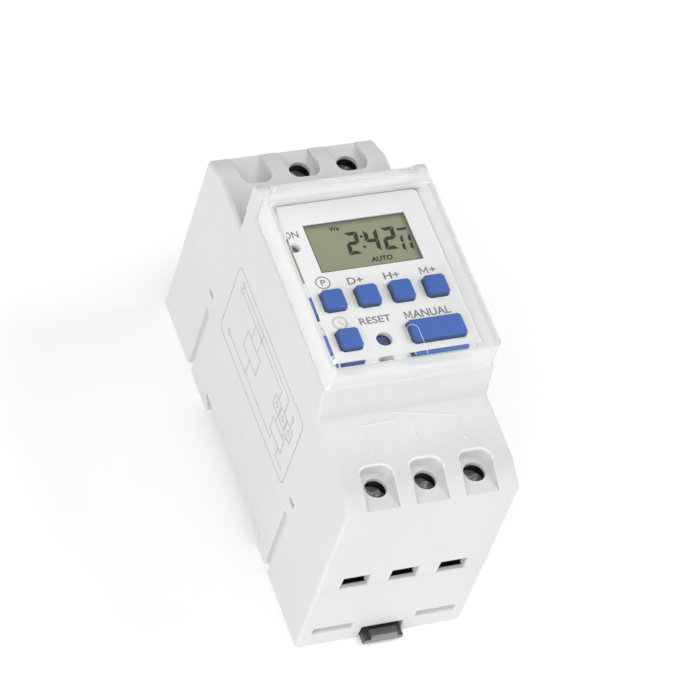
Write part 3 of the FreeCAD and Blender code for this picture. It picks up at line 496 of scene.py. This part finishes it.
def softened(cad_name, body, width, special=()):
    """Copy of a CAD node with its outward edges rounded, some by a (rule, width) of their own."""
    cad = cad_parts[cad_name]
    shell = bmesh.new()
    shell.from_mesh(cad.data)
    bmesh.ops.remove_doubles(shell, verts=shell.verts, dist=SAME_POINT)
    bmesh.ops.dissolve_limit(
        shell, angle_limit=FLAT_ANGLE, verts=shell.verts, edges=shell.edges
    )
    shell.normal_update()
    tree = BVHTree.FromBMesh(shell)
    weights = shell.edges.layers.float.new("bevel_weight_edge")
    widest = max([width] + [size for _, size in special])
    for edge in shell.edges:
        if reaches_out(edge, tree) and edge.calc_face_angle() > CRISP_ANGLE:
            size = width
            for rule, special_size in special:
                if rule(edge):
                    size = special_size
            edge[weights] = size / widest
    finish = cad.material_slots[0].material
    piece = new_piece(cad_name + "_soft", shell, finish, body)
    rounding = piece.modifiers.new("rounding", "BEVEL")
    rounding.limit_method = "WEIGHT"
    rounding.width = widest * MM
    rounding.segments = ROUNDING_STEPS
    rounding.use_clamp_overlap = False
    depsgraph = bpy.context.evaluated_depsgraph_get()
    rounded = bpy.data.meshes.new_from_object(piece.evaluated_get(depsgraph))
    piece.modifiers.clear()
    piece.data = rounded
    smooth(piece)
    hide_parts(cad_name)
    return piece


def edge_middle(edge):
    """Middle of an edge in millimetres."""
    return (edge.verts[0].co + edge.verts[1].co) / 2 / MM


def over_pockets(point, below):
    """True near the shoulders' level where the terminal pockets are."""
    beside = abs(point.y) > POCKET_START and abs(point.x) < POCKET_HALF_SPAN
    return beside and point.z > SHOULDER_Z - below


def on_pocket_rim(edge):
    """True on the upper edges of the terminal pockets."""
    return over_pockets(edge_middle(edge), 0.1)


def on_screw_hole(edge):
    """True on the rims of the holes over the screws."""
    middle = edge_middle(edge)
    low, high = HOLE_RIM_LEVELS
    if not low < middle.z < high:
        return False
    return any((middle - place).xy.length < HOLE_RIM_RADIUS for place in SCREWS.values())


def second_finish(piece, finish, rule):
    """Gives the faces that a rule picks a finish of their own."""
    piece.data.materials.append(finish)
    for face in piece.data.polygons:
        if rule(face):
            face.material_index = len(piece.data.materials) - 1


def in_cell(face):
    """True inside the terminal cells, not on the housing's outer skin."""
    centre = face.center / MM
    depth = cad_high.y / MM - abs(centre.y)
    beside = CELL_DEPTHS[0] <= depth < CELL_DEPTHS[1] and abs(centre.x) < CELL_HALF_SPAN
    return beside and CELL_LEVELS[0] < centre.z < CELL_LEVELS[1]


def on_rounded_rim(face):
    """True on the rounded rims of the terminal pockets."""
    sloped = 0.15 < face.normal.z < 0.97
    return sloped and face.area < RIM_FACE and over_pockets(face.center / MM, 0.6)


def on_latch_nose(face):
    """True on the latch's outer end, apart from what looks straight outwards."""
    return face.center.y / MM < LATCH_NOSE_START and face.normal.y > -0.7


def cut_across(piece, y):
    """New edges round a piece where a plane across its length meets it."""
    shell = bmesh.new()
    shell.from_mesh(piece.data)
    whole = shell.verts[:] + shell.edges[:] + shell.faces[:]
    bmesh.ops.bisect_plane(shell, geom=whole, plane_co=(0, y * MM, 0), plane_no=(0, 1, 0))
    shell.to_mesh(piece.data)
    shell.free()


def lid_depth(y):
    """Thickness added under the lid's roof at a place along its length."""
    low, high = LID_REACH
    return LID_TAPER * (high - y) / (high - low)


def ledges_passed(face):
    """How many of the hinge end's ledges lie before a face."""
    return sum(face.center.y / MM > ledge for ledge in LID_LEDGES)


def on_lid_wall(face):
    """True on the lid's upright faces and on every other ledge."""
    return abs(face.normal.z) < 0.3 or ledges_passed(face) % 2


def on_lid_haze(face):
    """True on the rest of the lid's hinge end."""
    return ledges_passed(face) and not on_lid_wall(face)


def make_lid():
    """Clear cover with a roof that is thicker towards its near end."""
    lid = softened("clear_cover", "cover", LID_ROUNDING)
    for vert in lid.data.vertices:
        if abs(vert.co.z / MM - LID_UNDERSIDE) < 0.05:
            vert.co.z -= lid_depth(vert.co.y / MM) * MM
    for ledge in LID_LEDGES:
        cut_across(lid, ledge)
    second_finish(lid, LID_WALL, on_lid_wall)
    second_finish(lid, LID_HAZE, on_lid_haze)


RIM_RULES = ((on_screw_hole, HOLE_ROUNDING), (on_pocket_rim, POCKET_ROUNDING))
front = softened("front_housing", "housing", HOUSING_ROUNDING, RIM_RULES)
close_folds(front.data)
base = softened("base_housing", "housing", HOUSING_ROUNDING)
# The insides of the terminal cells take painted shade
second_finish(front, CELL_PAINTED_SHADE, in_cell)
second_finish(base, CELL_PAINTED_SHADE, in_cell)
# The rounded pocket rims take the lighter white: painted highlight
second_finish(front, RELIEF_HIGHLIGHT_WHITE, on_rounded_rim)
softened("face_plate", "housing", PLATE_ROUNDING)
make_lid()
latch = softened("rail_latch", "latch", LATCH_ROUNDING)
# The latch's nose takes painted shade, apart from its outward face
second_finish(latch, LATCH_PAINTED_SHADE, on_latch_nose)
for key in ("program", "day", "hour", "minute", "clock", "manual", "reset"):
    softened("key_" + key, key + "_key", KEY_ROUNDING)


# Terminal screws with a threaded shank

def thread(shell, place, low, high):
    """Closed helical thread round an upright axis."""
    around, rows = 28, round((high - low) / THREAD_PITCH * 6)
    rings = []
    for row in range(rows + 1):
        z = low + (high - low) * row / rows
        ring = []
        for i in range(around):
            turn = i / around
            phase = (z / THREAD_PITCH - turn) % 1.0
            fade = min(1.0, (z - low) / THREAD_PITCH, (high - z) / THREAD_PITCH)
            r = THREAD_RADIUS - THREAD_DEPTH * abs(2 * phase - 1) * fade
            a = 2 * math.pi * turn
            ring.append(shell.verts.new((place.x + r * math.cos(a), place.y + r * math.sin(a), z)))
        rings.append(ring)
    shell.faces.new(list(reversed(rings[0])))
    shell.faces.new(rings[-1])
    for ring, following in zip(rings, rings[1:]):
        for i in range(around):
            j = (i + 1) % around
            shell.faces.new((ring[i], ring[j], following[j], following[i]))


def make_screw(number, turned):
    """Screw with a rounded cross-slotted head, turned by an angle about its axis."""
    place = SCREWS[number]
    piece = softened("terminal_screw_%d" % number, "screw_%d" % number, SCREW_ROUNDING)
    shell = bmesh.new()
    shell.from_mesh(piece.data)
    bmesh.ops.scale(shell, vec=(1 / MM,) * 3, verts=shell.verts)
    low = min(vert.co.z for vert in shell.verts)
    shank = [vert for vert in shell.verts if vert.co.z < HEAD_BOTTOM - 0.05]
    bmesh.ops.delete(shell, geom=shank, context="VERTS")
    bmesh.ops.holes_fill(shell, edges=[edge for edge in shell.edges if edge.is_boundary])
    spin = Matrix.Rotation(math.radians(turned), 3, "Z")
    bmesh.ops.rotate(shell, cent=Vector((place.x, place.y, 0)), matrix=spin, verts=shell.verts)
    thread(shell, place, low, HEAD_BOTTOM + 0.02)
    bmesh.ops.scale(shell, vec=(MM,) * 3, verts=shell.verts)
    shell.to_mesh(piece.data)
    shell.free()


SCREW_TURNS = (28, 41, 33, 12, 52)
for number, turned in zip(SCREWS, SCREW_TURNS):
    make_screw(number, turned)


# Printed and raised details

ON_TOP = Matrix.Identity(3)
ON_LEFT_SIDE = Matrix(((0, 0, -1), (-1, 0, 0), (0, 1, 0)))
MITRE_LIMIT = 0.3


def swept(shell, points, section, closed=False):
    """Sweeps a cross-section of (side, rise) points along a flat line with mitred corners."""
    rings = []
    last = len(points) - 1
    for i, point in enumerate(points):
        point = Vector((*point, 0))
        before = Vector((*points[i - 1], 0)) if i or closed else None
        after = Vector((*points[(i + 1) % len(points)], 0)) if i < last or closed else None
        into = (point - before).normalized() if before else (after - point).normalized()
        onward = (after - point).normalized() if after else into
        side = UP.cross(into + onward).normalized()
        stretch = 1 / max(MITRE_LIMIT, side.dot(UP.cross(into)))
        rings.append(
            [shell.verts.new(point + side * stretch * x + UP * rise) for x, rise in section]
        )
    pairs = list(zip(rings, rings[1:]))
    if closed:
        pairs.append((rings[-1], rings[0]))
    else:
        shell.faces.new(rings[0])
        shell.faces.new(list(reversed(rings[-1])))
    for ring, following in pairs:
        for j in range(len(section)):
            k = (j + 1) % len(section)
            shell.faces.new((ring[k], ring[j], following[j], following[k]))


def flat_line(width):
    """Cross-section of a printed line."""
    half = width / 2
    return ((-half, -SUNK), (half, -SUNK), (half, INK), (-half, INK))


def round_line(width, rise):
    """Cross-section of a moulded rib with a rounded back."""
    half, root = width / 2, 0.05
    turns = [math.pi * i / 6 for i in range(7)]
    crest = [(half * math.cos(a), rise * math.sin(a)) for a in turns]
    return [(-half, -root), (half, -root)] + crest


def prism(shell, outline, low, high):
    """Upright prism over a flat outline."""
    bottom = [shell.verts.new((x, y, low)) for x, y in outline]
    top = [shell.verts.new((x, y, high)) for x, y in outline]
    shell.faces.new(list(reversed(bottom)))
    shell.faces.new(top)
    for i in range(len(outline)):
        j = (i + 1) % len(outline)
        shell.faces.new((bottom[i], bottom[j], top[j], top[i]))


def circle(x, y, radius, count=40):
    """Points of a circle."""
    turns = (2 * math.pi * i / count for i in range(count))
    return [(x + radius * math.cos(a), y + radius * math.sin(a)) for a in turns]


def rounded(left, low, right, high, radius):
    """Points of a rectangle with round corners, anticlockwise."""
    steps = 6
    centres = (
        (right - radius, low + radius, -90),
        (right - radius, high - radius, 0),
        (left + radius, high - radius, 90),
        (left + radius, low + radius, 180),
    )
    points = []
    for x, y, start in centres:
        for i in range(steps + 1):
            a = math.radians(start + 90 * i / steps)
            points.append((x + radius * math.cos(a), y + radius * math.sin(a)))
    return points


def place_detail(name, shell, turn, level, finish, body="housing"):
    """Turns details drawn in millimetres on a plane into a piece on that plane."""
    bmesh.ops.recalc_face_normals(shell, faces=shell.faces)
    for vert in shell.verts:
        vert.co = (turn @ vert.co + level) * MM
    return new_piece(name, shell, finish, body)


def lettering(shell, words, left, right, low, high, weight, slant=0.0):
    """Letters fitted to a box on the drawing plane."""
    data = bpy.data.curves.new("letters", "FONT")
    data.body = words
    data.offset = weight
    data.resolution_u = 4
    data.extrude = 0.5
    holder = bpy.data.objects.new("letters", data)
    bpy.context.scene.collection.objects.link(holder)
    bpy.context.view_layer.update()
    mesh = bpy.data.meshes.new_from_object(
        holder.evaluated_get(bpy.context.evaluated_depsgraph_get())
    )
    bpy.data.objects.remove(holder)
    xs = [v.co.x for v in mesh.vertices]
    ys = [v.co.y for v in mesh.vertices]
    wide = (right - left) / (max(xs) - min(xs))
    tall = (high - low) / (max(ys) - min(ys))
    for v in mesh.vertices:
        y = (v.co.y - min(ys)) * tall
        x = left + (v.co.x - min(xs)) * wide + y * slant
        v.co = (x, low + y, INK if v.co.z > 0 else -SUNK)
    shell.from_mesh(mesh)
    bpy.data.meshes.remove(mesh)
    bmesh.ops.remove_doubles(shell, verts=shell.verts, dist=0.001)


# Display: seven-segment figures, a colon, the mode word and the weekday

FIGURES = {
    "1": ("upper_right", "lower_right"),
    "2": ("top", "upper_right", "middle", "lower_left", "bottom"),
    "4": ("upper_left", "upper_right", "middle", "lower_right"),
}
FIGURE_SLANT = 0.1
FIGURE_GAP = 0.07
FIGURE_LEVEL = WINDOW_TOP - 0.682 * WINDOW_HEIGHT
BORDER_INSET = 0.16

# Sign, place right of the window's left edge and above the figures' level, width, height, bar
FIGURE_ROW = (
    ("2", 7.1, -0.38, 2.75, 5.5, 0.84),
    ("4", 11.1, -0.38, 2.85, 5.5, 0.84),
    ("2", 14.8, -0.38, 2.75, 5.5, 0.84),
    ("1", 18.25, -1.2, 0.6, 4.1, 0.6),
    ("1", 19.9, -1.2, 0.6, 4.1, 0.6),
)

# Shares of the window's width from its left edge, and of its height from its top: for a dot its
# middle, for the dash its left and right ends and its level, for a word its left, right, low and
# high ends, with the weight of its strokes last
COLON_DOTS = ((0.511, 0.372), (0.503, 0.584))
DASH = (0.862, 0.967, 0.33)
DISPLAY_WORDS = (
    ("AUTO", 0.51, 0.72, 0.915, 0.81, 0.035),
    ("We", 0.235, 0.33, 0.185, 0.09, 0.03),
)


def on_window(u, v):
    """Point of the display window from its shares."""
    return WINDOW_LEFT + u * WINDOW_WIDTH, WINDOW_TOP - v * WINDOW_HEIGHT


def bars(width, height, thick):
    """Outlines of a figure's seven bars, with mitred ends, in its box."""
    w, h, t, g = width, height, thick, FIGURE_GAP
    m = h / 2
    left = ((0, h - g), (0, m + g), (t, m + t / 2 + g), (t, h - t - g))
    under, over = m - t / 2, m + t / 2
    return {
        "top": ((g, h), (t + g, h - t), (w - t - g, h - t), (w - g, h)),
        "bottom": ((g, 0), (t + g, t), (w - t - g, t), (w - g, 0)),
        "middle": ((g, m), (t, under), (w - t, under), (w - g, m), (w - t, over), (t, over)),
        "upper_left": left,
        "lower_left": [(x, h - y) for x, y in left],
        "upper_right": [(w - x, y) for x, y in left],
        "lower_right": [(w - x, h - y) for x, y in left],
    }


def make_display():
    """Figures and border on the display glass."""
    shell = bmesh.new()
    for sign, place, rise, width, height, thick in FIGURE_ROW:
        shapes = bars(width, height, thick)
        left, low = WINDOW_LEFT + place, FIGURE_LEVEL + rise
        for name in FIGURES[sign]:
            outline = [(left + x + y * FIGURE_SLANT, low + y) for x, y in shapes[name]]
            prism(shell, outline, -SUNK, INK)
    for dot in COLON_DOTS:
        prism(shell, circle(*on_window(*dot), 0.32, 20), -SUNK, INK)
    left, level = on_window(DASH[0], DASH[2])
    right = on_window(DASH[1], DASH[2])[0]
    low, high = level - 0.27, level + 0.27
    outline = (
        (left, level), (left + 0.25, low), (right - 0.2, low),
        (right, level), (right - 0.15, high), (left + 0.2, high),
    )
    prism(shell, outline, -SUNK, INK)
    for words, left, right, bottom, top, weight in DISPLAY_WORDS:
        left, low = on_window(left, bottom)
        right, high = on_window(right, top)
        lettering(shell, words, left, right, low, high, weight, FIGURE_SLANT)
    level = Vector((0, 0, GLASS_Z))
    place_detail("display_figures", shell, ON_TOP, level, INK_DARK)
    shell = bmesh.new()
    left, right = WINDOW_LEFT + BORDER_INSET, WINDOW_LEFT + WINDOW_WIDTH - BORDER_INSET
    low, high = WINDOW_TOP - WINDOW_HEIGHT + BORDER_INSET, WINDOW_TOP - BORDER_INSET
    edge = [(left, low), (right, low), (right, high), (left, high)]
    swept(shell, edge, flat_line(0.30), closed=True)
    place_detail("display_border", shell, ON_TOP, level, RIM_DARK)


make_display()


# Key legends

LEGEND_WEIGHT = 0.02
LEGEND_STROKE = 0.26

# Words with their left, right, low and high ends, and rings with their middle and radius
LEGENDS = (
    ("ON", -14.95, -11.85, 12.2, 13.9),
    ("D+", -6.0, -2.75, -0.55, 1.1),
    ("H+", 1.6, 4.95, -0.55, 1.1),
    ("+", 11.3, 12.6, -0.267, 0.875),
    ("P", -11.35, -10.3, 0.08, 1.53),
    ("RESET", -6.9, -0.35, -10.35, -8.7),
    ("ANUAL", 4.194, 12.1, -10.5, -8.65),
)
CAPITAL_MS = ((9.2, 10.95, -0.55, 1.1), (2.5, 4.022, -10.476, -8.661))
P_RING = (-10.88, 0.8, 1.4)
CLOCK_RING = (-10.78, -9.1, 1.4)
CLOCK_HANDS = ((-10.78, -8.15), (-10.78, -9.15), (-10.09, -9.6))
LAMP_RING = (0, 0, 1.12)


def capital_m(shell, left, right, low, high):
    """Letter M, which the font's own weight setting would tear."""
    s, w, h = LEGEND_STROKE, right - left, high - low
    notch = 0.42 * h
    slope = (h - notch) / (w / 2 - s)
    tip = notch - s * math.hypot(1, slope)
    crotch = tip + slope * (w / 2 - s)
    half = [(0, 0), (s, 0), (s, crotch), (w / 2, tip)]
    outline = half + [(w - x, y) for x, y in half[2::-1]]
    outline += [(w, h), (w - s, h), (w / 2, notch), (s, h), (0, h)]
    prism(shell, [(left + x, low + y) for x, y in outline], -SUNK, INK)


def make_legends():
    """Function marks printed on the face plate."""
    level = Vector((0, 0, FACE_Z))
    shell = bmesh.new()
    for legend in LEGENDS:
        lettering(shell, *legend, LEGEND_WEIGHT)
    for box in CAPITAL_MS:
        capital_m(shell, *box)
    swept(shell, circle(*P_RING), flat_line(0.24), closed=True)
    place_detail("legends", shell, ON_TOP, level, INK_GREY)
    shell = bmesh.new()
    swept(shell, circle(*CLOCK_RING), flat_line(0.42), closed=True)
    swept(shell, CLOCK_HANDS, flat_line(0.34))
    place_detail("legend_clock", shell, ON_TOP, level, INK_BEIGE)
    shell = bmesh.new()
    swept(shell, circle(*LAMP_RING), flat_line(0.16), closed=True)
    level = Vector((LAMP.x, LAMP.y, FACE_Z))
    place_detail("lamp_ring", shell, ON_TOP, level, INK_PALE)


make_legends()


# Rib under the lid's roof, raised lines on the near shoulder, printed side

RIB_MIDDLE = 1.2
RIB_RADIUS = 1.2
RIB_ENDS = (-20.1, -13.9)

RELIEF_LINES = (
    ((-9.7, -28.7), (-9.7, -25.5), (-2.5, -25.4), (-2.3, -23.5), (9.9, -26.4), (9.5, -30.7)),
    ((0.55, -25.45), (0.3, -31.7)),
)
RELIEF_ARROWS = ((-9.65, -31.4), (9.9, -31.7))

# The side's frame and diagram, drawn along the side with the near end to the right: the frame's
# left, low, right and high ends and the radius of its corners, each box's left and low ends, width
# and height, and the middle of each ring
FRAME = (-19.6, 23.0, 19.6, 43.5, 1.6)
DIAGRAM_BOXES = (
    (7.2, 33.6, 3.0, 3.4),
    (10.6, 33.6, 3.0, 3.4),
    (14.0, 33.6, 3.0, 3.4),
    (8.9, 28.0, 6.4, 3.6),
    (-9.4, 30.6, 7.6, 4.6),
)
DIAGRAM_LINES = (
    ((8.7, 37.0), (8.7, 39.6), (-15.4, 39.6)),
    ((12.1, 37.0), (12.1, 41.4), (-15.4, 41.4)),
    ((15.5, 37.0), (15.5, 39.2)),
    ((10.2, 31.6), (10.2, 33.6)),
    ((13.9, 31.6), (13.9, 32.6), (15.5, 32.6), (15.5, 33.6)),
    ((10.2, 28.0), (10.2, 26.2), (-15.4, 26.2)),
    ((13.9, 28.0), (13.9, 25.4), (17.6, 25.4)),
    ((-7.4, 35.2), (-7.4, 39.6)),
    ((-3.8, 35.2), (-3.8, 41.4)),
    ((-5.6, 30.6), (-5.6, 26.2)),
)
DIAGRAM_RINGS = (
    (8.7, 35.3), (12.1, 35.3), (15.5, 35.3), (15.5, 39.75),
    (-15.95, 39.6), (-15.95, 41.4), (-15.95, 26.2),
)


def make_lid_rib():
    """Fine arched rib under the lid's roof, over the wide key."""
    shell = bmesh.new()
    low, top = RIB_ENDS
    turns = [math.pi * i / 10 for i in range(11)]
    left, right = RIB_MIDDLE - RIB_RADIUS, RIB_MIDDLE + RIB_RADIUS
    arch = [
        (RIB_MIDDLE + RIB_RADIUS * math.cos(a), top - RIB_RADIUS + RIB_RADIUS * math.sin(a))
        for a in turns
    ]
    swept(shell, [(right, low)] + arch + [(left, low)], round_line(0.09, 0.05))
    for vert in shell.verts:
        vert.co.z = LID_UNDERSIDE - lid_depth(vert.co.y) - vert.co.z
    place_detail("lid_rib", shell, ON_TOP, Vector(), RELIEF_HIGHLIGHT_WHITE, "cover")


def make_relief():
    """Thin raised wiring lines between the near terminals and the nose."""
    shell = bmesh.new()
    section = round_line(0.36, 0.14)
    for points in RELIEF_LINES:
        swept(shell, points, section)
    for x, y in RELIEF_ARROWS:
        swept(shell, [(x - 0.5, y - 0.4), (x, y + 0.35), (x + 0.5, y - 0.4)], section)
    level = Vector((0, 0, SHOULDER_Z))
    # The lines take the lighter white: painted highlight
    place_detail("wiring_relief", shell, ON_TOP, level, RELIEF_HIGHLIGHT_WHITE)


def make_side_label():
    """Printed frame with a generic connection diagram on the left side."""
    shell = bmesh.new()
    swept(shell, rounded(*FRAME), flat_line(0.3), closed=True)
    line = flat_line(0.28)
    for left, low, wide, tall in DIAGRAM_BOXES:
        right, high = left + wide, low + tall
        corners = [(left, low), (right, low), (right, high), (left, high)]
        swept(shell, corners, line, closed=True)
    for points in DIAGRAM_LINES:
        swept(shell, points, line)
    for x, y in DIAGRAM_RINGS:
        swept(shell, circle(x, y, 0.55, 20), line, closed=True)
    level = Vector((SIDE_X, 0, 0))
    place_detail("side_label", shell, ON_LEFT_SIDE, level, INK_PALE)


make_lid_rib()
make_relief()
make_side_label()


# Camera, floor and lights

def add_camera():
    """Camera at the photograph's place and angle."""
    flat = math.cos(VIEW_ELEVATION)
    back = Vector(
        (math.sin(VIEW_AZIMUTH) * flat, -math.cos(VIEW_AZIMUTH) * flat, math.sin(VIEW_ELEVATION))
    )
    right = UP.cross(back).normalized()
    up = back.cross(right)
    turned_right = right * math.cos(VIEW_ROLL) + up * math.sin(VIEW_ROLL)
    turned_up = up * math.cos(VIEW_ROLL) - right * math.sin(VIEW_ROLL)
    turn = Matrix((turned_right, turned_up, back)).transposed()
    data = bpy.data.cameras.new("camera")
    data.sensor_width = SENSOR_WIDTH
    data.lens = FOCAL_PIXELS / PICTURE_PIXELS * SENSOR_WIDTH
    data.clip_start, data.clip_end = CLIPPING
    camera = bpy.data.objects.new("camera", data)
    camera.matrix_world = Matrix.Translation(turn @ Vector(CAMERA_OFFSET) * MM) @ turn.to_4x4()
    bpy.context.scene.collection.objects.link(camera)
    bpy.context.scene.camera = camera


def add_lamp(name, place, size, power):
    """Square soft lamp aimed at the object."""
    data = bpy.data.lights.new(name, "AREA")
    data.size = size
    data.energy = power
    lamp = bpy.data.objects.new(name, data)
    lamp.location = place
    aim = Vector(LAMP_AIM) - Vector(place)
    lamp.rotation_euler = aim.to_track_quat("-Z", "Y").to_euler()
    bpy.context.scene.collection.objects.link(lamp)


def add_floor():
    """Pale floor that runs far past the view."""
    shell = bmesh.new()
    bmesh.ops.create_grid(shell, x_segments=8, y_segments=8, size=3.0)
    mesh = bpy.data.meshes.new("floor")
    shell.to_mesh(mesh)
    shell.free()
    made, tree, shader, place = start_finish("floor")
    stops = ((0.3, (0.93, 0.93, 0.93)), (0.7, (0.95, 0.95, 0.95)))
    pale = ramp(tree, noise(tree, place, 3.0), stops)
    tree.links.new(pale, shader.inputs["Base Color"])
    shader.inputs["Roughness"].default_value = 0.9
    shader.inputs["Specular IOR Level"].default_value = 0.1
    shader.inputs["Emission Color"].default_value = (1.0, 1.0, 1.0, 1.0)
    shader.inputs["Emission Strength"].default_value = 0.12
    mesh.materials.append(made)
    floor = bpy.data.objects.new("floor", mesh)
    floor.location.z = -0.05 * MM
    bpy.context.scene.collection.objects.link(floor)


def add_world():
    """Pale surroundings, brightest at the front left and dimmest behind."""
    world = bpy.data.worlds.new("surroundings")
    world.use_nodes = True
    tree = world.node_tree
    toward = node(tree, "TexCoord").outputs["Generated"]
    inputs = {0: toward, 1: (-0.5, -0.6, 0.5)}
    facing = node(tree, "VectorMath", inputs, operation="DOT_PRODUCT").outputs["Value"]
    bright = spread(tree, facing, 0.30, 1.27, -0.2, 1.0)
    background = tree.nodes["Background"]
    background.inputs["Color"].default_value = (1.0, 1.0, 1.0, 1.0)
    tree.links.new(bright, background.inputs["Strength"])
    bpy.context.scene.world = world


add_camera()
add_floor()
add_world()
add_lamp("key_lamp", *KEY_LAMP)
add_lamp("fill_lamp", *FILL_LAMP)
bpy.context.scene.view_settings.view_transform = "Standard"
